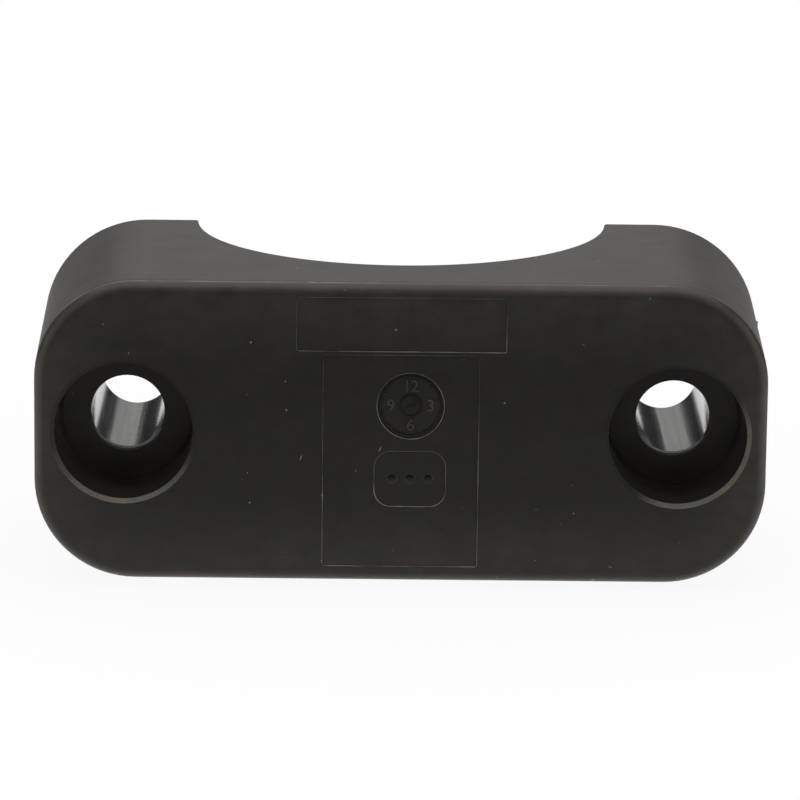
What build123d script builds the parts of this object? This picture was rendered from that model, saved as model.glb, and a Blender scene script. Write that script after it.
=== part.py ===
from build123d import *
from math import radians, tan
import os

# One half of a two-bolt tube clamp: a moulded polypropylene jaw with a steel sleeve in each bolt hole.
#
# The jaw is a rounded block. Its head face carries a deep recess round each bolt hole, for a bolt head or
# for the threaded boss of a weld plate. The opposite face is the parting face, where a ribbed half-round
# seat holds the tube. A second jaw of the same mould, turned round, closes the clamp.
#
# Frame, in millimetres: the origin is on the tube's axis, half way along the jaw's width. +Z runs along the
# tube and is up, so the jaw stands on one of its long side walls. X runs from bolt to bolt. -Y points out of
# the head face and +Y out of the parting face.

os.makedirs("parts", exist_ok=True)

# ---- driving dimensions -------------------------------------------------------------------------------

# The tube, and how the two jaws meet round it.
tube_diameter = 40.0
clamp_gap = 0.4  # left between the two parting faces when the jaws lie on the tube
axis_height = 28.5  # tube axis to head face

# The block, measured at the parting face, where it is largest.
body_length = 70.2
body_width = 30.0
corner_radius = 10.2
wall_draft = 1.5  # degrees, the walls close in towards the head face
head_edge_radius = 1.2  # round the head face
parting_edge_chamfer = 0.2  # round the parting face
seat_edge_radius = 0.8  # along the two lips of the tube seat

# The bolts and their steel sleeves.
bolt_spacing = 52.0
sleeve_bore = 7.0
sleeve_wall = 1.0
sleeve_chamfer = 0.2
sleeve_clearance = 0.02  # on the radius, between sleeve and jaw

# The recess round each bolt hole, and the thin lip under its floor that the sleeve is pushed up against.
recess_diameter = 13.0
recess_depth = 8.2
recess_chamfer = 0.4
recess_floor_bevel = 0.4  # in the corner between wall and floor
lip_thickness = 0.8
lip_clearance = 0.16  # on the radius, the lip's hole over the bore of the sleeve
sleeve_lead_in = 0.4  # chamfer that lets the sleeve into the jaw

# The grip ribs round the tube seat.
rib_count = 5
rib_crest = 1.2
rib_height = 0.9
rib_flank = 20.0  # degrees from the radius
end_land = 3.5  # plain width of seat at each end

# The shallow pockets that the mould's marking inserts leave in the head face, all bare.
pocket_depth = 0.12
name_pocket_length = 19.7
name_pocket_width = 5.2
name_pocket_height = 10.45  # its middle, above the middle of the face
data_pocket_length = 14.7
data_pocket_width = 20.4
data_pocket_height = -2.6
dial_diameter = 6.4
dial_depth = 0.15  # below the floor of the data pocket
dial_height = 2.7
stamp_offset = 0.9  # dial and lozenge stand this far right of the pocket's middle
lozenge_length = 6.8
lozenge_width = 5.4
lozenge_corner = 1.6
lozenge_depth = 0.1  # below the floor of the data pocket
lozenge_height = -4.3

# The torn stub of the runner, on one end wall beside the parting face.
gate_height = 0.3
gate_length = 0.9
gate_place = 5.0  # above the middle of the wall

# ---- sizes that follow --------------------------------------------------------------------------------

tube_radius = tube_diameter / 2
parting_y = -clamp_gap / 2
head_y = -axis_height
body_height = parting_y - head_y
draft_slope = tan(radians(wall_draft))

sleeve_bore_radius = sleeve_bore / 2
sleeve_outer_radius = sleeve_bore_radius + sleeve_wall
sleeve_seat_radius = sleeve_outer_radius + sleeve_clearance
recess_radius = recess_diameter / 2
recess_floor_y = head_y + recess_depth
lip_radius = sleeve_bore_radius + lip_clearance
sleeve_stop_y = recess_floor_y + lip_thickness

# Each groove between two ribs: its width at the tube, and its narrower width at its floor.
groove_count = rib_count + 1
groove_pitch = (body_width - 2 * end_land + rib_crest) / groove_count
groove_mouth = groove_pitch - rib_crest
flank_run = tan(radians(rib_flank))
groove_floor = groove_mouth - 2 * rib_height * flank_run

overcut = 1.0  # how far a cutting tool runs past the surface that it opens


def block():
    """The drafted block, rounded round its head face and broken round its parting face."""
    parting_plane = Plane.XZ.offset(-parting_y)
    outline = RectangleRounded(body_length, body_width, corner_radius)
    solid = extrude(parting_plane * outline, amount=body_height, taper=wall_draft)
    head_face = solid.faces().sort_by(Axis.Y)[0]
    solid = fillet(head_face.edges(), head_edge_radius)
    parting_face = solid.faces().sort_by(Axis.Y)[-1]
    return chamfer(parting_face.edges(), parting_edge_chamfer)


def cut_tube_seat(solid):
    """Take the tube's half round out of the block, with rounded lips where it meets the parting face."""
    beyond = Pos(0, parting_y + tube_diameter / 2) * Rectangle(tube_diameter + 2 * overcut, tube_diameter)
    outline = Circle(tube_radius) + beyond
    lips = outline.vertices().filter_by(lambda corner: abs(corner.X) < tube_radius)
    outline = fillet(lips, seat_edge_radius)
    return solid - extrude(outline, amount=body_width / 2 + overcut, both=True)


def seat_groove(centre_z):
    """The ring cut between two ribs: wide at the tube, narrower at its floor."""
    floor_radius = tube_radius + rib_height
    inner_radius = tube_radius - overcut
    half_mouth = groove_mouth / 2 + overcut * flank_run
    half_floor = groove_floor / 2
    outline = Polyline(
        (inner_radius, 0, centre_z - half_mouth),
        (floor_radius, 0, centre_z - half_floor),
        (floor_radius, 0, centre_z + half_floor),
        (inner_radius, 0, centre_z + half_mouth),
        close=True,
    )
    return revolve(make_face(outline), Axis.Z)


def cut_grip_grooves(solid):
    """Cut the row of grooves that leaves the grip ribs standing in the seat."""
    for index in range(groove_count):
        centre_z = (index - (groove_count - 1) / 2) * groove_pitch
        solid = solid - seat_groove(centre_z)
    return solid


def turned(points):
    """A solid turned about the Y axis from its outline. Each point is (radius, y)."""
    return revolve(make_face(Polyline(*points, close=True)), Axis.Y)


def recess():
    """What is cut away for a bolt head: a round pocket with a chamfered mouth and a bevel at its floor."""
    mouth_radius = recess_radius + recess_chamfer + overcut
    return turned(
        [
            (0, head_y - overcut),
            (mouth_radius, head_y - overcut),
            (recess_radius, head_y + recess_chamfer),
            (recess_radius, recess_floor_y - recess_floor_bevel),
            (recess_radius - recess_floor_bevel, recess_floor_y),
            (0, recess_floor_y),
        ]
    )


def sleeve_seat():
    """What is cut away behind the recess: the lip's hole, the sleeve's seat and its lead-in."""
    lead_in_radius = sleeve_seat_radius + sleeve_lead_in + overcut
    return turned(
        [
            (0, recess_floor_y - overcut),
            (lip_radius, recess_floor_y - overcut),
            (lip_radius, sleeve_stop_y),
            (sleeve_seat_radius, sleeve_stop_y),
            (sleeve_seat_radius, parting_y - sleeve_lead_in),
            (lead_in_radius, parting_y + overcut),
            (0, parting_y + overcut),
        ]
    )


def bolt_places():
    """Where the two bolt axes lie, left one first."""
    return [Pos(-bolt_spacing / 2, 0, 0), Pos(bolt_spacing / 2, 0, 0)]


def pressed_into_head(outline, offset, height, depth):
    """The cutting tool that sinks a flat outline into the head face, down to a depth."""
    face_plane = Plane.XZ.offset(axis_height + overcut)
    placed = face_plane * Pos(offset, height) * outline
    return extrude(placed, amount=-(depth + overcut))


def marking_pockets():
    """The two marking pockets, with a round dial seat and a lozenge sunk in the lower one."""
    name_pocket = Rectangle(name_pocket_length, name_pocket_width)
    data_pocket = Rectangle(data_pocket_length, data_pocket_width)
    dial = Circle(dial_diameter / 2)
    lozenge = RectangleRounded(lozenge_length, lozenge_width, lozenge_corner)
    return [
        pressed_into_head(name_pocket, 0, name_pocket_height, pocket_depth),
        pressed_into_head(data_pocket, 0, data_pocket_height, pocket_depth),
        pressed_into_head(dial, stamp_offset, dial_height, pocket_depth + dial_depth),
        pressed_into_head(lozenge, stamp_offset, lozenge_height, pocket_depth + lozenge_depth),
    ]


def gate_stub():
    """The small wedge of plastic left on the +X end wall where the runner was torn off."""
    root_y = parting_y - parting_edge_chamfer
    front_y = root_y - gate_length
    wall_x = body_length / 2
    front_wall_x = wall_x - (parting_y - front_y) * draft_slope
    inside_x = front_wall_x - gate_height
    outline = Polyline(
        (inside_x, front_y),
        (front_wall_x, front_y),
        (wall_x + gate_height, root_y - gate_length / 4),
        (wall_x - parting_edge_chamfer * draft_slope, root_y),
        (inside_x, root_y),
        close=True,
    )
    stub = extrude(make_face(outline), amount=gate_length / 2, both=True)
    return Pos(0, 0, gate_place) * stub


def jaw():
    """The moulded jaw, in one piece."""
    solid = cut_grip_grooves(cut_tube_seat(block()))
    for place in bolt_places():
        solid = solid - place * recess() - place * sleeve_seat()
    for pocket in marking_pockets():
        solid = solid - pocket
    return solid + gate_stub()


def sleeve():
    """The steel sleeve that takes the bolt's load, with the edges of both ends broken."""
    tube = turned(
        [
            (sleeve_bore_radius, sleeve_stop_y),
            (sleeve_outer_radius, sleeve_stop_y),
            (sleeve_outer_radius, parting_y),
            (sleeve_bore_radius, parting_y),
        ]
    )
    return chamfer(tube.edges().filter_by(GeomType.CIRCLE), sleeve_chamfer)


left_place, right_place = bolt_places()
nodes = {
    "clamp_jaw": jaw(),
    "left_bolt_sleeve": left_place * sleeve(),
    "right_bolt_sleeve": right_place * sleeve(),
}
for name, solid in nodes.items():
    export_step(solid, f"parts/{name}.step")
    print(name, round(solid.volume, 1), "mm3")
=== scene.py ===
# %% [markdown]
# # One half of a hydraulic tube clamp
#
# The real thing is a block of black polypropylene, about as long as a thumb, that holds half of a
# hydraulic tube. It is moulded in one shot, and each bolt hole is taken to hold a steel sleeve, so the piece
# count is three. What makes it look real is not the number of pieces but the plastic: a dull, faintly mottled
# black with a rounded edge that catches the light, and two bright bores.
#
# This lesson dresses that frame: it gives each piece its finish, adds the small moulded marks, and sets up
# the studio.

# %% Load the frame and keep its box
import math

import bmesh
import bpy
from mathutils import Matrix, Vector


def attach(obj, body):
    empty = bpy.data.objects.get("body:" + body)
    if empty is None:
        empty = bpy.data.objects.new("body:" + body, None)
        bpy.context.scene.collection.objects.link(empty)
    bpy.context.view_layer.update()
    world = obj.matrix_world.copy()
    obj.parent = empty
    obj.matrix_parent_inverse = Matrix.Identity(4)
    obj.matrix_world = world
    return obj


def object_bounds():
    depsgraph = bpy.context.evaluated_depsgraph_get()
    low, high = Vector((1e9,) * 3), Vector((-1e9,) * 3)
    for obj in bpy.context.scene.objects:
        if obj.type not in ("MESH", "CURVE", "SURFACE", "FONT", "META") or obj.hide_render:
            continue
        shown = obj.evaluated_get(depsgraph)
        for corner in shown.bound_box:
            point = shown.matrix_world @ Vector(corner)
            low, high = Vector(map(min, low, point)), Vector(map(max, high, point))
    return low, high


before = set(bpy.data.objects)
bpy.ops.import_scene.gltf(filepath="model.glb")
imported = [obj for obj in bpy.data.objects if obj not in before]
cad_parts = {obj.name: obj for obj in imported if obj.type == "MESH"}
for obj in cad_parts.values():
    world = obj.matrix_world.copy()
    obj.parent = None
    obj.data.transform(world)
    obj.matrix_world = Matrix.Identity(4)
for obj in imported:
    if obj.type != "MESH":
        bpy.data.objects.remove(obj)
cad_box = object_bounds()

MM = 0.001  # the scene is in metres, small sizes below are given in millimetres
low_corner, high_corner = cad_box
head_y = low_corner.y
floor_z = low_corner.z
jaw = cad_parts["clamp_jaw"]
sleeves = [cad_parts["left_bolt_sleeve"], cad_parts["right_bolt_sleeve"]]
print("CAD box in mm:", [round(v / MM, 2) for v in (*low_corner, *high_corner)])

# %% [markdown]
# ## The camera
#
# The camera stands in front of the head face and looks a little down on it, so the head face and the long
# side wall on top both show. A long lens keeps the block from looking wedge-shaped. The camera could be
# dragged into place by hand, but it is worked out here from a distance and three angles, because those can
# be read, checked and changed one at a time.

# %% Aim the camera
view_distance = 459.25 * MM
view_elevation = math.radians(12.62)
view_azimuth = math.radians(-0.37)
view_roll = math.radians(0.66)
view_width = 74.91 * MM  # what the picture spans, side to side, at the head face
aim_shift = Vector((0.07 * MM, -3.24 * MM))  # the face sits this far off the picture's middle

forward = Vector(
    (
        -math.sin(view_azimuth) * math.cos(view_elevation),
        math.cos(view_azimuth) * math.cos(view_elevation),
        -math.sin(view_elevation),
    )
)
level_right = Vector((math.cos(view_azimuth), math.sin(view_azimuth), 0))
level_up = level_right.cross(forward)
right = math.cos(view_roll) * level_right + math.sin(view_roll) * level_up
up = right.cross(forward)
face_middle = Vector((0, head_y, 0))
eye = face_middle - aim_shift.x * right - aim_shift.y * up - view_distance * forward

camera_data = bpy.data.cameras.new("studio_camera")
camera_data.sensor_width = 36
camera_data.lens = camera_data.sensor_width * view_distance / view_width
camera_data.clip_start = 0.01
camera_data.clip_end = 50
camera = bpy.data.objects.new("studio_camera", camera_data)
bpy.context.scene.collection.objects.link(camera)
camera.matrix_world = Matrix.Translation(eye) @ Matrix((right, up, -forward)).transposed().to_4x4()
bpy.context.scene.camera = camera
print("lens in mm:", round(camera_data.lens, 1))

# %% [markdown]
# ## The studio
#
# Small technical parts are often shown on a white light table, with one big soft lamp overhead and a few
# cards round it, in a room that is otherwise dim. Every black surface is then drawn by what it mirrors: the
# wall on top mirrors the card behind and turns grey, the rounded edges mirror the lamp and draw a light
# line, and the head face mirrors the dim room behind the camera and stays black. The plastic adds a painted
# sheen on the walls and a painted highlight on the crest of the head edge. A sky texture could light
# the part too, but then nobody could say which light draws which edge. Here each light has one job.

# %% Start with a dim room that the camera sees as white
room_level = 0.04


def add_node(tree, kind, **settings):
    """A new node. Keywords name its settings."""
    node = tree.nodes.new(kind)
    for name, value in settings.items():
        setattr(node, name, value)
    return node


def feed(tree, value, socket):
    """Give an input its value: a link from another socket, or a plain number."""
    if isinstance(value, bpy.types.NodeSocket):
        tree.links.new(value, socket)
    else:
        socket.default_value = value


def calculate(tree, operation, first, second=0):
    """A Math node on two sockets or numbers. Gives its result."""
    node = add_node(tree, "ShaderNodeMath", operation=operation)
    feed(tree, first, node.inputs[0])
    feed(tree, second, node.inputs[1])
    return node.outputs["Value"]


room = bpy.data.worlds.new("dim_room")
bpy.context.scene.world = room
room.use_nodes = True
tree = room.node_tree
tree.nodes.clear()
path = add_node(tree, "ShaderNodeLightPath")
straight = calculate(tree, "MAXIMUM", path.outputs["Is Camera Ray"], path.outputs["Is Transmission Ray"])
background = add_node(tree, "ShaderNodeBackground")
background.inputs["Color"].default_value = (1, 1, 1, 1)
tree.links.new(calculate(tree, "MAXIMUM", straight, room_level), background.inputs["Strength"])
world_output = add_node(tree, "ShaderNodeOutputWorld")
tree.links.new(background.outputs[0], world_output.inputs["Surface"])
bpy.context.scene.view_settings.view_transform = "Standard"
print("room level, where white paper is 1:", room_level)

# %% Place the lamp and the cards


def add_card(name, centre, size, level, facing):
    """A flat light of one brightness: level 1 is as bright as white paper. The camera doesn't see it."""
    data = bpy.data.lights.new(name, "AREA")
    data.shape = "RECTANGLE"
    data.size, data.size_y = size
    data.energy = level * math.pi * size[0] * size[1]
    card = bpy.data.objects.new(name, data)
    card.location = centre
    card.rotation_euler = (Vector(facing) - Vector(centre)).to_track_quat("-Z", "Y").to_euler()
    card.visible_camera = False
    bpy.context.scene.collection.objects.link(card)
    return card


part_middle = Vector((0, (low_corner.y + high_corner.y) / 2, 0))
add_card("overhead_lamp", (0, 0.05, 0.6), (0.9, 0.8), 1.6, (0, 0, 0))
add_card("sweep_behind", (0, 1.0, 0.17), (0.3, 0.38), 0.44, (0, 0, 0.17))
add_card("sweep_top", (0, 1.0, 0.82), (0.3, 0.92), 1.0, (0, 0, 0.82))
add_card("front_fill", (0, -0.6, 0.42), (1.0, 0.4), 0.35, part_middle)
for side in (-1, 1):
    name, side_level = ("left", 0.7) if side < 0 else ("right", 0.9)
    add_card(f"shoulder_{name}", (side * 0.2, 1.0, 0.34), (0.1, 0.2), 1.0, (side * 0.2, 0, 0.34))
    add_card(f"wing_{name}", (side * 0.55, 0.84, 0.3), (0.5, 0.7), 0.6, part_middle)
    add_card(f"side_card_{name}", (side * 0.45, -0.2, 0.12), (0.6, 0.4), side_level, part_middle)
print("lamps and cards:", len(bpy.data.lights))

# %% Lay the paper
paper_width = 3.0
paper_front = -0.11
paper_back = 0.19  # the table ends soon behind the part, which puts a dark streak in each bore
paper_grey = 0.9
near_glow = 0.93  # how white the camera sees the table under the part
near_reach, far_reach = 0.04, 0.10  # between these distances it turns fully white


def remap(tree, value, low, high, new_low=0.0, new_high=1.0, smooth=False):
    """A Map Range node, which holds its result between the two new ends."""
    node = add_node(tree, "ShaderNodeMapRange")
    node.interpolation_type = "SMOOTHSTEP" if smooth else "LINEAR"
    tree.links.new(value, node.inputs["Value"])
    ends = {"From Min": low, "From Max": high, "To Min": new_low, "To Max": new_high}
    for name, end in ends.items():
        node.inputs[name].default_value = end
    return node.outputs["Result"]


paper_mesh = bpy.data.meshes.new("light_table")
half = paper_width / 2
corners = [(-half, paper_front, 0), (half, paper_front, 0), (half, paper_back, 0), (-half, paper_back, 0)]
paper_mesh.from_pydata(corners, [], [(0, 1, 2, 3)])
paper = bpy.data.objects.new("light_table", paper_mesh)
paper.location = (0, 0, floor_z)
bpy.context.scene.collection.objects.link(paper)

paper_material = bpy.data.materials.new("white_paper")
paper_material.use_nodes = True
tree = paper_material.node_tree
tree.nodes.clear()
spot = add_node(tree, "ShaderNodeTexCoord").outputs["Object"]
distance = add_node(tree, "ShaderNodeVectorMath", operation="LENGTH")
tree.links.new(spot, distance.inputs[0])
fade = remap(tree, distance.outputs["Value"], near_reach, far_reach, near_glow, 1.0, smooth=True)
matte = add_node(tree, "ShaderNodeBsdfDiffuse")
matte.inputs["Color"].default_value = (paper_grey, paper_grey, paper_grey, 1)
glow = add_node(tree, "ShaderNodeEmission")
mixed = add_node(tree, "ShaderNodeMixShader")
path = add_node(tree, "ShaderNodeLightPath")
shown = calculate(tree, "MULTIPLY", path.outputs["Is Camera Ray"], fade)
tree.links.new(calculate(tree, "MAXIMUM", shown, path.outputs["Is Glossy Ray"]), mixed.inputs[0])
tree.links.new(matte.outputs[0], mixed.inputs[1])
tree.links.new(glow.outputs[0], mixed.inputs[2])
paper_output = add_node(tree, "ShaderNodeOutputMaterial")
tree.links.new(mixed.outputs[0], paper_output.inputs["Surface"])
paper_mesh.materials.append(paper_material)
print("light table in m:", paper_width, "by", round(paper_back - paper_front, 2))

# %% [markdown]
# ## The plastic
#
# Black polypropylene from a spark-eroded mould is dull, with a grain of about a tenth of a millimetre. It is
# never one black. The flow of the melt leaves a cloudy mottle, half warm and half cool. Handling rubs the
# rounded edges grey, and here and there sits a pale speck or a short nick. The face is also made paler
# towards its outer part. Other pale and dark places are painted light and shade: a painted highlight on the
# crest of the head edge and on the low rims of the recesses, painted sheen and reflection on the edges, the
# low edges and the walls, painted shade on the outermost edges and behind the crest, and painted light in the
# recesses.
# A painted image could hold all that, but it would only suit one size of part. Here each trace is a small
# group of nodes on the object's own coordinates, in millimetres, and a mask says where it belongs.

# %% Write down the arithmetic of the patterns


def times(tree, first, *others):
    """The product of sockets and numbers."""
    for other in others:
        first = calculate(tree, "MULTIPLY", first, other)
    return first


def millimetres(tree):
    """The object's own coordinates, in millimetres."""
    node = add_node(tree, "ShaderNodeVectorMath", operation="SCALE")
    tree.links.new(add_node(tree, "ShaderNodeTexCoord").outputs["Object"], node.inputs[0])
    node.inputs["Scale"].default_value = 1 / MM
    return node.outputs["Vector"]


def split(tree, vector):
    """The three parts of a vector."""
    node = add_node(tree, "ShaderNodeSeparateXYZ")
    tree.links.new(vector, node.inputs[0])
    return node.outputs["X"], node.outputs["Y"], node.outputs["Z"]


def combine(tree, **parts):
    """A vector from sockets or numbers, named X, Y and Z. What isn't named is 0."""
    node = add_node(tree, "ShaderNodeCombineXYZ")
    for axis, value in parts.items():
        feed(tree, value, node.inputs[axis])
    return node.outputs["Vector"]


def distance_2d(tree, first, second):
    """The length of the two numbers taken as a flat vector."""
    squares = [times(tree, part, part) for part in (first, second)]
    return calculate(tree, "SQRT", calculate(tree, "ADD", *squares))


# %% Find where on the jaw a point lies
# The patterns work in plain millimetres, so these sizes do too.
face_half_length = 34.4
face_half_width = 14.3
face_corner_radius = 9.5
bolt_offset = 26.0
recess_reach = 6.8  # from a bolt's axis, a little past the wall of its recess
head_y_mm = head_y / MM


def jaw_masks(tree, spot):
    """Masks of the jaw: where its plastic is rubbed, painted as light or shade, or left as moulded.

    They are its rounded edges (rubbed, and partly a painted sheen), the low ones among them (a painted
    reflection of the table) and the outermost ones (painted shade), the crest of the head edge (a painted
    highlight) and the line behind it (painted shade), the lit rims of the recesses (a painted highlight), the
    outer head face, the walls (a painted sheen), and inside the recesses the walls, the floors and the low
    part of the floors (painted light).
    """
    x, y, z = split(tree, spot)
    depth = calculate(tree, "SUBTRACT", y, head_y_mm)  # below the head face
    normal = add_node(tree, "ShaderNodeTexCoord").outputs["Normal"]
    facing = remap(tree, split(tree, normal)[1], 0, -1)  # 1 on the head face, 0 on a wall
    on_face = remap(tree, facing, 0.5, 0.9)
    steep = remap(tree, facing, 0.4, 0.05)
    # rounded edges: rubbed paler, and partly a painted sheen
    edges = remap(tree, times(tree, facing, calculate(tree, "SUBTRACT", 1, facing)), 0.03, 0.2)
    # painted highlight: a pale line along the crest of the head edge
    crest = times(tree, remap(tree, facing, 0.12, 0.18), remap(tree, facing, 0.36, 0.24))
    shade = times(tree, remap(tree, depth, 1.8, 1.2), remap(tree, facing, 0.16, 0.12))

    wide, high = calculate(tree, "ABSOLUTE", x), calculate(tree, "ABSOLUTE", z)
    past_x = calculate(tree, "SUBTRACT", wide, face_half_length - face_corner_radius)
    past_z = calculate(tree, "SUBTRACT", high, face_half_width - face_corner_radius)
    outward = distance_2d(tree, *(calculate(tree, "MAXIMUM", past, 0) for past in (past_x, past_z)))
    outer = times(tree, on_face, remap(tree, outward, 0, face_corner_radius, smooth=True))

    past_bolt = calculate(tree, "SUBTRACT", wide, bolt_offset)
    from_bolt = distance_2d(tree, past_bolt, z)
    in_hole = remap(tree, from_bolt, recess_reach + 0.1, recess_reach)
    recesses = times(tree, in_hole, remap(tree, depth, 0.3, 0.8))
    # painted sheen: the walls are painted paler, standing in for the card behind that they mirror
    walls = times(tree, steep, calculate(tree, "SUBTRACT", 1, recesses))
    # painted light: inside the recesses the walls, the floors and most of all the low part of the floors are
    # painted paler
    recess_wall_light = times(tree, recesses, steep, remap(tree, depth, 1, 8))
    recess_floor_light = times(tree, recesses, on_face)
    low_floor_light = times(tree, recess_floor_light, remap(tree, z, -3, -recess_reach))

    # painted highlight: the low part of each recess rim is painted paler, higher up on the outer side of the
    # right one
    by_rim = remap(tree, from_bolt, recess_reach + 0.8, recess_reach + 0.3)
    off_rim = calculate(tree, "SUBTRACT", 1, by_rim)
    on_right = remap(tree, x, -1, 1)  # the light reaches higher up the outer side of the right rim
    lit = calculate(tree, "SUBTRACT", times(tree, past_bolt, 0.9, on_right), z)
    lit = remap(tree, lit, 1, recess_reach, smooth=True)
    rims = times(tree, edges, by_rim, remap(tree, depth, 0.8, 0.5), lit)

    edges, crest, shade = (times(tree, mask, off_rim) for mask in (edges, crest, shade))
    # painted reflection: the low edges are painted paler, as if they mirrored the white table
    low_edge_reflection = times(tree, edges, remap(tree, z, -10, -14))
    # painted shade: the outermost side edges are painted darker and given less sheen
    side_edge_shade = times(tree, edges, remap(tree, facing, 0.6, 0.3), remap(tree, wide, 31, 33.5))
    return {
        "edges": edges,
        "low_edge_reflection": low_edge_reflection,
        "side_edge_shade": side_edge_shade,
        "crest": crest,
        "shade": shade,
        "rims": rims,
        "outer": outer,
        "walls": walls,
        "recess_wall_light": recess_wall_light,
        "recess_floor_light": recess_floor_light,
        "low_floor_light": low_floor_light,
    }


# %% Draw mottle, specks and nicks


def noise(tree, spot, size, detail=2.0, stretch=(1, 1, 1)):
    """Cloudy noise whose lumps are about the given size in millimetres, times the stretch along each axis."""
    scaled = add_node(tree, "ShaderNodeVectorMath", operation="MULTIPLY")
    tree.links.new(spot, scaled.inputs[0])
    scaled.inputs[1].default_value = [1 / (size * part) for part in stretch]
    node = add_node(tree, "ShaderNodeTexNoise")
    node.inputs["Scale"].default_value = 1
    node.inputs["Detail"].default_value = detail
    tree.links.new(scaled.outputs["Vector"], node.inputs["Vector"])
    return node.outputs["Fac"]


def flatten(tree, spot):
    """Two coordinates for flat patterns: x and z on the head face, and a slanted pair on every wall."""
    x, y, z = split(tree, spot)
    lean = times(tree, y, 0.7)
    return combine(tree, X=calculate(tree, "ADD", x, lean), Y=calculate(tree, "ADD", z, lean))


def marks(tree, flat, spacing, share, radius, stretch=(1, 1), turn=0.0, shift=0.0):
    """Scattered small marks, 1 inside a mark and 0 outside. Only a share of the cells holds one."""
    turned = add_node(tree, "ShaderNodeMapping")
    turned.inputs["Location"].default_value = (shift, shift, 0)
    turned.inputs["Rotation"].default_value = (0, 0, math.radians(turn))
    tree.links.new(flat, turned.inputs["Vector"])
    scaled = add_node(tree, "ShaderNodeVectorMath", operation="MULTIPLY")
    scaled.inputs[1].default_value = (1 / (spacing * stretch[0]), 1 / (spacing * stretch[1]), 1)
    tree.links.new(turned.outputs["Vector"], scaled.inputs[0])
    cells = add_node(tree, "ShaderNodeTexVoronoi", voronoi_dimensions="2D")
    cells.inputs["Scale"].default_value = 1
    tree.links.new(scaled.outputs["Vector"], cells.inputs["Vector"])
    chance = split(tree, cells.outputs["Color"])[0]
    reach = remap(tree, chance, 1 - share, 1, 0, radius / spacing)
    ratio = calculate(tree, "DIVIDE", cells.outputs["Distance"], calculate(tree, "MAXIMUM", reach, 0.0001))
    return remap(tree, ratio, 1, 0.4)


def add_up(tree, *terms):
    """The sum of sockets, each times its weight. A term is (socket, weight)."""
    total = None
    for socket, weight in terms:
        part = times(tree, socket, weight)
        total = part if total is None else calculate(tree, "ADD", total, part)
    return total


def tint(tree, level, warmth, cool=(1.04, 1.0, 0.85, 1), warm=(1.16, 0.98, 0.8, 1)):
    """A grey of the given level, from a cool one at warmth 0 to a warm one at warmth 1."""
    shade = add_node(tree, "ShaderNodeMix", data_type="RGBA")
    shade.inputs["A"].default_value = cool
    shade.inputs["B"].default_value = warm
    tree.links.new(warmth, shade.inputs["Factor"])
    scaled = add_node(tree, "ShaderNodeVectorMath", operation="SCALE")
    tree.links.new(shade.outputs["Result"], scaled.inputs[0])
    tree.links.new(level, scaled.inputs["Scale"])
    return scaled.outputs["Vector"]


def add_relief(tree, shader, *layers):
    """Chain Bump nodes into the shader. A layer is (height socket, depth in millimetres)."""
    normal = None
    for height, depth in layers:
        bump = add_node(tree, "ShaderNodeBump")
        bump.inputs["Distance"].default_value = depth * MM
        tree.links.new(height, bump.inputs["Height"])
        if normal:
            tree.links.new(normal, bump.inputs["Normal"])
        normal = bump.outputs["Normal"]
    tree.links.new(normal, shader.inputs["Normal"])


# %% Mix the plastic
base_level = 0.0115  # how pale the plastic is where nothing has touched it
base_roughness = 0.34
base_specular = 0.27
# Besides real wear, most of these masks are painted light and shade: highlights, sheen, reflections and
# shade.
wear_and_painted_light = {  # how much paler or darker the plastic is in each mask
    "edges": 0.036,
    "low_edge_reflection": 0.028,
    "side_edge_shade": -0.03,
    "crest": 0.085,
    "shade": -0.03,
    "rims": 0.13,
    "outer": 0.021,
    "walls": 0.042,
    "recess_wall_light": 0.075,
    "recess_floor_light": 0.012,
    "low_floor_light": 0.03,
}


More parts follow.
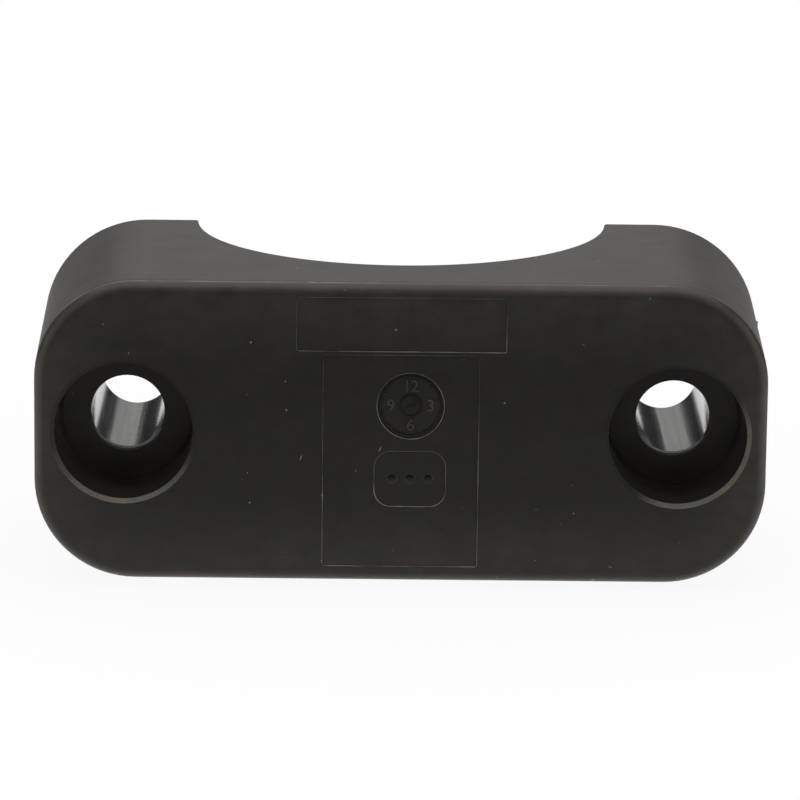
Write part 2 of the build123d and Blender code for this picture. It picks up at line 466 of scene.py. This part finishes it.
def black_polypropylene(name, lift=0.0, polish=0.0):
    """The jaw's plastic, rubbed grey on its edges, with painted highlights, sheen and shade from its masks.

    Lift makes it paler: on the beads that is a painted highlight, on the dial's numbers a slightly paler
    tone. Polish makes it smoother, as a polished insert leaves it.
    """
    material = bpy.data.materials.new(name)
    material.use_nodes = True
    tree = material.node_tree
    shader = tree.nodes["Principled BSDF"]
    spot = millimetres(tree)
    flat = flatten(tree, spot)
    masks = jaw_masks(tree, spot)

    clouds = noise(tree, spot, 4.0, detail=3.0)
    flow = noise(tree, spot, 1.3, detail=4.0, stretch=(1.8, 1, 1))
    grain = noise(tree, spot, 0.16, detail=1.0)
    specks = marks(tree, flat, spacing=3.4, share=0.18, radius=0.13)
    nicks = marks(tree, flat, spacing=2.4, share=0.08, radius=0.1, stretch=(0.7, 3.5), turn=20, shift=3.1)
    scuffs = marks(tree, flat, spacing=2.6, share=0.04, radius=0.09, stretch=(0.7, 3.2), turn=-65, shift=7.7)
    edge_nicks = marks(tree, flat, spacing=1.1, share=0.1, radius=0.16, stretch=(2.4, 1), shift=1.3)
    edge_nicks = times(tree, edge_nicks, masks["edges"])

    # the painted highlight on the crest is broken into dashes
    dashes = remap(tree, noise(tree, spot, 2.2, detail=3.0, stretch=(1.6, 1, 1)), 0.46, 0.62)
    masks["crest"] = times(tree, masks["crest"], dashes)
    level = add_up(tree, *((masks[name], weight) for name, weight in wear_and_painted_light.items()))
    level = calculate(tree, "ADD", level, base_level + lift)
    mottle = add_up(tree, (clouds, 0.7), (flow, 0.75), (grain, 0.5))
    level = times(tree, level, calculate(tree, "ADD", mottle, 0.02))
    pale = add_up(tree, (specks, 0.2), (nicks, 0.22), (scuffs, 0.16), (edge_nicks, 0.2))
    level = calculate(tree, "ADD", level, pale)
    warmth = remap(tree, noise(tree, spot, 2.6, detail=2.0), 0.4, 0.6)
    tree.links.new(tint(tree, level, warmth), shader.inputs["Base Color"])

    shine = add_up(tree, (flow, 0.16), (grain, 0.12), (masks["edges"], -0.12))
    tree.links.new(calculate(tree, "ADD", shine, base_roughness - polish), shader.inputs["Roughness"])
    dulled = times(tree, masks["side_edge_shade"], -0.22)
    tree.links.new(calculate(tree, "ADD", dulled, base_specular), shader.inputs["Specular IOR Level"])
    add_relief(tree, shader, (clouds, 0.03), (grain, 0.006), (nicks, 0.02), (edge_nicks, 0.02))
    return material


plastic = black_polypropylene("black_polypropylene_matte")
# painted highlight: the bead plastic is made paler, so each bead draws a pale line as its lit flanks would
bead_plastic_painted_pale = black_polypropylene("black_polypropylene_bead_painted_highlight", lift=0.15)
polished_plastic = black_polypropylene("black_polypropylene_polished", lift=-0.009, polish=0.18)
raised_plastic = black_polypropylene("black_polypropylene_raised", lift=0.03, polish=0.1)
jaw.material_slots[0].material = plastic
print("plastic nodes:", len(plastic.node_tree.nodes))

# %% [markdown]
# ## The steel
#
# Each sleeve is cut from drawn tube. The die leaves fine lines along the bore, and they are what breaks the
# long reflections into streaks. They could be modelled, but they are a few thousandths of a millimetre deep,
# so a stretched noise does it: lumps that are hair-thin round the bore and many millimetres long.

# %% Mix the steel
recess_depth = 8.2  # in plain millimetres, as all sizes in this cell are
lip_thickness = 0.8  # of plastic between the recess and the sleeve
sleeve_end_y = head_y_mm + recess_depth + lip_thickness
end_chamfer = 0.2


def drawn_steel():
    """Smooth plated steel with the drawing lines of tube along the bore."""
    material = bpy.data.materials.new("sleeve_steel_drawn")
    material.use_nodes = True
    tree = material.node_tree
    shader = tree.nodes["Principled BSDF"]
    spot = millimetres(tree)
    lines = noise(tree, spot, 0.12, detail=2.0, stretch=(1, 90, 1))
    bands = noise(tree, spot, 0.6, detail=2.0, stretch=(1, 40, 1))
    bloom = noise(tree, spot, 1.8, detail=3.0)

    level = add_up(tree, (lines, 0.1), (bands, 0.16), (bloom, 0.08))
    level = calculate(tree, "ADD", level, 0.03)
    _, y, z = split(tree, spot)
    # The chamfered end is a dull non-metal, painted a little darker, and its low side much paler, a painted
    # highlight.
    chamfered_end = remap(tree, y, sleeve_end_y + end_chamfer + 0.03, sleeve_end_y + end_chamfer - 0.03)
    painted_catchlight = times(tree, chamfered_end, remap(tree, z, -1.5, -3.2))  # the low side of the end catches the light
    level = add_up(tree, (level, 1), (chamfered_end, -0.08), (painted_catchlight, 0.9))
    colour = tint(tree, level, bloom, cool=(1.0, 1.0, 0.97, 1), warm=(1.03, 1.0, 0.93, 1))
    tree.links.new(colour, shader.inputs["Base Color"])
    tree.links.new(calculate(tree, "SUBTRACT", 1, chamfered_end), shader.inputs["Metallic"])
    shine = add_up(tree, (lines, 0.08), (bands, 0.1), (bloom, 0.06), (chamfered_end, 0.3))
    tree.links.new(calculate(tree, "ADD", shine, 0.03), shader.inputs["Roughness"])
    add_relief(tree, shader, (bands, 0.004), (lines, 0.001))
    return material


steel = drawn_steel()
for sleeve in sleeves:
    sleeve.material_slots[0].material = steel
print("steel nodes:", len(steel.node_tree.nodes))

# %% [markdown]
# ## The lines round the mould's inserts
#
# The mould holds a few steel inserts for the markings. Melt creeps a hair's breadth into the gap round each
# one and leaves a thin bead, which catches the light as a fine pale line on the face. Here the bead's plastic
# is painted paler, a painted highlight. Modelling four beads by hand would mean four meshes to keep in step.
# A Geometry Nodes tree with the outline's size as its inputs makes all of them: a rounded rectangle swept
# with a round wire, which is thinned and thickened a little at random and grows thicker towards the bottom
# of its outline.

# %% Begin, end and run a tree
bead_diameter = 0.12 * MM
bead_step = 0.25 * MM


def new_tree(name, **inputs):
    """A geometry tree with named number inputs and a material input. Gives the tree and its end nodes."""
    tree = bpy.data.node_groups.new(name, "GeometryNodeTree")
    tree.interface.new_socket("Geometry", in_out="INPUT", socket_type="NodeSocketGeometry")
    tree.interface.new_socket("Geometry", in_out="OUTPUT", socket_type="NodeSocketGeometry")
    for label, start in inputs.items():
        kind = "NodeSocketInt" if isinstance(start, int) else "NodeSocketFloat"
        socket = tree.interface.new_socket(label, in_out="INPUT", socket_type=kind)
        socket.default_value = start
    tree.interface.new_socket("Material", in_out="INPUT", socket_type="NodeSocketMaterial")
    return tree, add_node(tree, "NodeGroupInput"), add_node(tree, "NodeGroupOutput")


def connect(tree, *pairs):
    """Link each pair of sockets: an output, then the input that it feeds."""
    for start, end in pairs:
        tree.links.new(start, end)


def close_tree(tree, source, sink, geometry):
    """End a tree as every one here ends: real geometry, with its material."""
    real = add_node(tree, "GeometryNodeRealizeInstances")
    dressed = add_node(tree, "GeometryNodeSetMaterial")
    connect(
        tree,
        (geometry, real.inputs["Geometry"]),
        (real.outputs["Geometry"], dressed.inputs["Geometry"]),
        (source.outputs["Material"], dressed.inputs["Material"]),
        (dressed.outputs["Geometry"], sink.inputs["Geometry"]),
    )


def grow(name, tree, place, **settings):
    """Run a tree on an empty mesh and keep the result as a plain mesh, stood on the head face.

    The tree works flat, in x and y. Its x becomes the face's x, its y the face's z, and its z points out
    of the face. Place is the middle's x, the surface's y and the middle's z, in metres.
    """
    seedling = bpy.data.objects.new(name + "_seedling", bpy.data.meshes.new(name + "_seedling"))
    bpy.context.scene.collection.objects.link(seedling)
    modifier = seedling.modifiers.new("grow", "NODES")
    modifier.node_group = tree
    for item in tree.interface.items_tree:
        if item.name in settings:
            modifier[item.identifier] = settings[item.name]
    bpy.context.view_layer.update()
    grown = seedling.evaluated_get(bpy.context.evaluated_depsgraph_get())
    mesh = bpy.data.meshes.new_from_object(grown)
    mesh.name = name
    mesh.transform(Matrix.Translation(place) @ Matrix.Rotation(math.radians(90), 4, "X"))
    seedling.modifiers.clear()
    bpy.data.objects.remove(seedling)
    piece = bpy.data.objects.new(name, mesh)
    bpy.context.scene.collection.objects.link(piece)
    for polygon in mesh.polygons:
        polygon.use_smooth = True
    print(name, "has", len(mesh.polygons), "faces")
    return piece


# %% Build the tree that lays a bead
bead_tree, source, sink = new_tree(
    "insert_bead", Width=0.01, Height=0.01, Corner=0.0001, Bead=bead_diameter, Step=bead_step, Seed=0.0
)
outline = add_node(bead_tree, "GeometryNodeCurvePrimitiveQuadrilateral")
rounded = add_node(bead_tree, "GeometryNodeFilletCurve", mode="POLY")
rounded.inputs["Count"].default_value = 12
evened = add_node(bead_tree, "GeometryNodeResampleCurve", mode="LENGTH")
uneven = add_node(bead_tree, "ShaderNodeTexNoise", noise_dimensions="4D")
uneven.inputs["Scale"].default_value = 0.35 / MM
thickness = remap(bead_tree, uneven.outputs["Fac"], 0.3, 0.7, 0.1, 1.0)
wire = add_node(bead_tree, "GeometryNodeCurvePrimitiveCircle")
wire.inputs["Resolution"].default_value = 8
half_bead = times(bead_tree, source.outputs["Bead"], 0.5)
place = split(bead_tree, add_node(bead_tree, "GeometryNodeInputPosition").outputs[0])
sag = calculate(bead_tree, "DIVIDE", place[1], source.outputs["Height"])
sag = calculate(bead_tree, "SUBTRACT", 1, sag)  # a half at the top, one and a half at the bottom
swept = add_node(bead_tree, "GeometryNodeCurveToMesh")
connect(
    bead_tree,
    (source.outputs["Width"], outline.inputs["Width"]),
    (source.outputs["Height"], outline.inputs["Height"]),
    (outline.outputs["Curve"], rounded.inputs["Curve"]),
    (source.outputs["Corner"], rounded.inputs["Radius"]),
    (rounded.outputs["Curve"], evened.inputs["Curve"]),
    (source.outputs["Step"], evened.inputs["Length"]),
    (source.outputs["Seed"], uneven.inputs["W"]),
    (evened.outputs["Curve"], swept.inputs["Curve"]),
    (half_bead, wire.inputs["Radius"]),
    (wire.outputs["Curve"], swept.inputs["Profile Curve"]),
    (times(bead_tree, thickness, sag), swept.inputs["Scale"]),
)
close_tree(bead_tree, source, sink, swept.outputs["Mesh"])

# %% Lay the four beads
pocket_depth = 0.12 * MM
dial_depth = 0.15 * MM
lozenge_depth = 0.1 * MM
pocket_floor_y = head_y + pocket_depth
stamp_x = 0.9 * MM
name_pocket_z = 10.45 * MM
data_pocket_z = -2.6 * MM
dial_z = 2.7 * MM
lozenge_z = -4.3 * MM

fine_corner = 0.15 * MM
dial_radius = 3.2 * MM
name_pocket = (19.7 * MM, 5.2 * MM, fine_corner)
data_pocket = (14.7 * MM, 20.4 * MM, fine_corner)
dial_seat = (2 * dial_radius, 2 * dial_radius, dial_radius)
lozenge = (6.8 * MM, 5.4 * MM, 1.6 * MM)

bead_inset = 0.6 * bead_diameter  # how much smaller than its outline a bead runs
bead_y = head_y + 0.75 * bead_diameter  # low enough that its thickest places stay under the face
sunk_bead_y = pocket_floor_y + bead_diameter / 4


def lay_bead(name, outline, place, seed):
    """One bead, just inside an outline given by its whole width, its height and its corner radius."""
    width, height, corner = outline
    sizes = {"Width": width - bead_inset, "Height": height - bead_inset, "Corner": corner - bead_inset / 2}
    wire_settings = {"Bead": bead_diameter, "Step": bead_step, "Seed": seed, "Material": bead_plastic_painted_pale}
    return grow(name, bead_tree, place, **sizes, **wire_settings)


beads = [
    lay_bead("name_pocket_bead", name_pocket, (0, bead_y, name_pocket_z), 1.0),
    lay_bead("data_pocket_bead", data_pocket, (0, bead_y, data_pocket_z), 2.0),
    lay_bead("dial_seat_bead", dial_seat, (stamp_x, sunk_bead_y, dial_z), 3.0),
    lay_bead("lozenge_bead", lozenge, (stamp_x, sunk_bead_y, lozenge_z), 4.0),
]

# %% [markdown]
# ## The mould's date dial
#
# In the round seat stands what most moulded parts carry somewhere: a small dial of the twelve months, with
# a tick for each, a plain number at every third and an arrow that says when the part was made. Its rings and
# ticks repeat round a centre, so a Geometry Nodes tree makes them. The numbers are all different, so they
# are set as text, and each is turned into a mesh before it is put in its place.

# %% Sweep the dial's two rings
month_count = 12
dial_relief = 0.12 * MM  # how far ring, ticks and numbers stand out of the dial's floor
dial_floor_y = pocket_floor_y + dial_depth

# Heights as multiples of the relief. Half of each is below the floor. They differ, so that no two tops that
# cross lie in one plane.
ring_height, tick_height, shaft_height = 2, 1.7, 1.5

dial_tree, source, sink = new_tree(
    "date_dial",
    Radius=2.85 * MM,
    Line=0.16 * MM,
    Relief=dial_relief,
    Tick=0.24 * MM,
    Inner=1.0 * MM,
    Count=month_count,
)
radius, line, relief = (source.outputs[name] for name in ("Radius", "Line", "Relief"))
tick, inner = source.outputs["Tick"], source.outputs["Inner"]
joined = add_node(dial_tree, "GeometryNodeJoinGeometry")
flat_bar = add_node(dial_tree, "GeometryNodeCurvePrimitiveQuadrilateral")
connect(
    dial_tree,
    (line, flat_bar.inputs["Width"]),
    (times(dial_tree, relief, ring_height), flat_bar.inputs["Height"]),
)
for ring_radius in (radius, inner):
    ring = add_node(dial_tree, "GeometryNodeCurvePrimitiveCircle")
    ring.inputs["Resolution"].default_value = 72
    swept = add_node(dial_tree, "GeometryNodeCurveToMesh")
    connect(
        dial_tree,
        (ring_radius, ring.inputs["Radius"]),
        (ring.outputs["Curve"], swept.inputs["Curve"]),
        (flat_bar.outputs["Curve"], swept.inputs["Profile Curve"]),
        (swept.outputs["Mesh"], joined.inputs["Geometry"]),
    )

# %% Set a tick between each month and the next
bar = add_node(dial_tree, "GeometryNodeMeshCube")
circle = add_node(dial_tree, "GeometryNodeMeshCircle")
half_tick = times(dial_tree, tick, 0.5)
outward = add_node(dial_tree, "FunctionNodeAlignRotationToVector", axis="Y")
ticks = add_node(dial_tree, "GeometryNodeInstanceOnPoints")
half_turn = add_node(dial_tree, "GeometryNodeTransform")
half_turn.inputs["Rotation"].default_value = (0, 0, math.pi / month_count)
connect(
    dial_tree,
    (combine(dial_tree, X=line, Y=tick, Z=times(dial_tree, relief, tick_height)), bar.inputs["Size"]),
    (source.outputs["Count"], circle.inputs["Vertices"]),
    (calculate(dial_tree, "SUBTRACT", radius, half_tick), circle.inputs["Radius"]),
    (add_node(dial_tree, "GeometryNodeInputPosition").outputs[0], outward.inputs["Vector"]),
    (circle.outputs["Mesh"], ticks.inputs["Points"]),
    (bar.outputs["Mesh"], ticks.inputs["Instance"]),
    (outward.outputs["Rotation"], ticks.inputs["Rotation"]),
    (ticks.outputs["Instances"], half_turn.inputs["Geometry"]),
    (half_turn.outputs["Geometry"], joined.inputs["Geometry"]),
)

# %% Add the arrow
arrow_base, arrow_top, arrow_reach = 0.42, 0.36, 0.4  # the head's sizes, as shares of the inner ring's radius
arrow_angle = math.radians(-60)

arrow_head = add_node(dial_tree, "GeometryNodeMeshCone")
arrow_head.inputs["Vertices"].default_value = 3
arrow_shaft = add_node(dial_tree, "GeometryNodeMeshCube")
shaft_size = combine(dial_tree, X=line, Y=inner, Z=times(dial_tree, relief, shaft_height))
head_moved = add_node(dial_tree, "GeometryNodeTransform")
head_moved.inputs["Rotation"].default_value = (0, 0, math.radians(90))
arrow = add_node(dial_tree, "GeometryNodeJoinGeometry")
arrow_turned = add_node(dial_tree, "GeometryNodeTransform")
arrow_turned.inputs["Rotation"].default_value = (0, 0, arrow_angle)
connect(
    dial_tree,
    (times(dial_tree, inner, arrow_base), arrow_head.inputs["Radius Bottom"]),
    (times(dial_tree, inner, arrow_top), arrow_head.inputs["Radius Top"]),
    (relief, arrow_head.inputs["Depth"]),
    (shaft_size, arrow_shaft.inputs["Size"]),
    (arrow_head.outputs["Mesh"], head_moved.inputs["Geometry"]),
    (combine(dial_tree, Y=times(dial_tree, inner, arrow_reach)), head_moved.inputs["Translation"]),
    (head_moved.outputs["Geometry"], arrow.inputs["Geometry"]),
    (arrow_shaft.outputs["Mesh"], arrow.inputs["Geometry"]),
    (arrow.outputs["Geometry"], arrow_turned.inputs["Geometry"]),
    (arrow_turned.outputs["Geometry"], joined.inputs["Geometry"]),
)
close_tree(dial_tree, source, sink, joined.outputs["Geometry"])

dial = grow("date_dial", dial_tree, (stamp_x, dial_floor_y, dial_z), Material=polished_plastic)
dial.data.shade_flat()

# %% Set the four numbers
number_size = 1.6 * MM
number_radius = 1.86 * MM
number_bevel = 0.03 * MM
quarters = (3, 6, 9, 12)
number_parts = []
for month in quarters:
    text = bpy.data.curves.new(f"number_{month}", "FONT")
    text.body = str(month)
    text.size = number_size
    text.align_x = "CENTER"
    text.align_y = "CENTER"
    text.extrude = dial_relief - number_bevel
    text.space_character = 0.9
    text.bevel_depth = number_bevel
    text.offset = -number_bevel / 2
    text.resolution_u = 3
    lettering = bpy.data.objects.new(f"number_{month}", text)
    bpy.context.scene.collection.objects.link(lettering)
    bpy.context.view_layer.update()
    mesh = bpy.data.meshes.new_from_object(lettering.evaluated_get(bpy.context.evaluated_depsgraph_get()))
    bpy.data.objects.remove(lettering)
    angle = math.tau * (0.25 - month / month_count)
    spot = (
        stamp_x + number_radius * math.cos(angle),
        dial_floor_y,
        dial_z + number_radius * math.sin(angle),
    )
    mesh.transform(Matrix.Translation(spot) @ Matrix.Rotation(math.radians(90), 4, "X"))
    number_parts.append(mesh)

numbers_form = bmesh.new()
for mesh in number_parts:
    numbers_form.from_mesh(mesh)
bmesh.ops.remove_doubles(numbers_form, verts=numbers_form.verts, dist=0.001 * MM)
numbers_mesh = bpy.data.meshes.new("dial_numbers")
numbers_form.to_mesh(numbers_mesh)
numbers_form.free()
numbers_mesh.materials.append(raised_plastic)
numbers = bpy.data.objects.new("dial_numbers", numbers_mesh)
bpy.context.scene.collection.objects.link(numbers)
print("dial_numbers has", len(numbers_mesh.polygons), "faces")

# %% [markdown]
# ## The cavity pips
#
# A mould often makes several parts at a time. Plain raised pips, one for the first cavity, two for the
# second and so on, say which cavity a part came from. They stand in the lozenge: low domes, all alike, so
# one dome is made and instanced along a line.

# %% Grow a row of pips
pip_tree, source, sink = new_tree("cavity_pips", Radius=0.5 * MM, Relief=0.1 * MM, Pitch=1.7 * MM, Count=3)
radius, relief, pitch, count = (source.outputs[name] for name in ("Radius", "Relief", "Pitch", "Count"))
dome = add_node(pip_tree, "GeometryNodeMeshUVSphere")
dome.inputs["Segments"].default_value = 24
dome.inputs["Rings"].default_value = 12
flattened = add_node(pip_tree, "GeometryNodeTransform")
squash = combine(pip_tree, X=1, Y=1, Z=calculate(pip_tree, "DIVIDE", relief, radius))
row = add_node(pip_tree, "GeometryNodeMeshLine")
gaps = calculate(pip_tree, "SUBTRACT", count, 1)
half_row = times(pip_tree, gaps, times(pip_tree, pitch, -0.5))
pips_on_row = add_node(pip_tree, "GeometryNodeInstanceOnPoints")
connect(
    pip_tree,
    (radius, dome.inputs["Radius"]),
    (dome.outputs["Mesh"], flattened.inputs["Geometry"]),
    (squash, flattened.inputs["Scale"]),
    (count, row.inputs["Count"]),
    (combine(pip_tree, X=pitch), row.inputs["Offset"]),
    (combine(pip_tree, X=half_row), row.inputs["Start Location"]),
    (row.outputs["Mesh"], pips_on_row.inputs["Points"]),
    (flattened.outputs["Geometry"], pips_on_row.inputs["Instance"]),
)
close_tree(pip_tree, source, sink, pips_on_row.outputs["Instances"])
lozenge_floor_y = pocket_floor_y + lozenge_depth
pips = grow("cavity_pips", pip_tree, (stamp_x, lozenge_floor_y, lozenge_z), Material=polished_plastic)

# %% [markdown]
# ## Riding on one body
#
# The small moulded pieces are part of the jaw, which is part of the one rigid body.

# %% Ride on the root body
for piece in (*beads, dial, numbers, pips):
    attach(piece, "root")
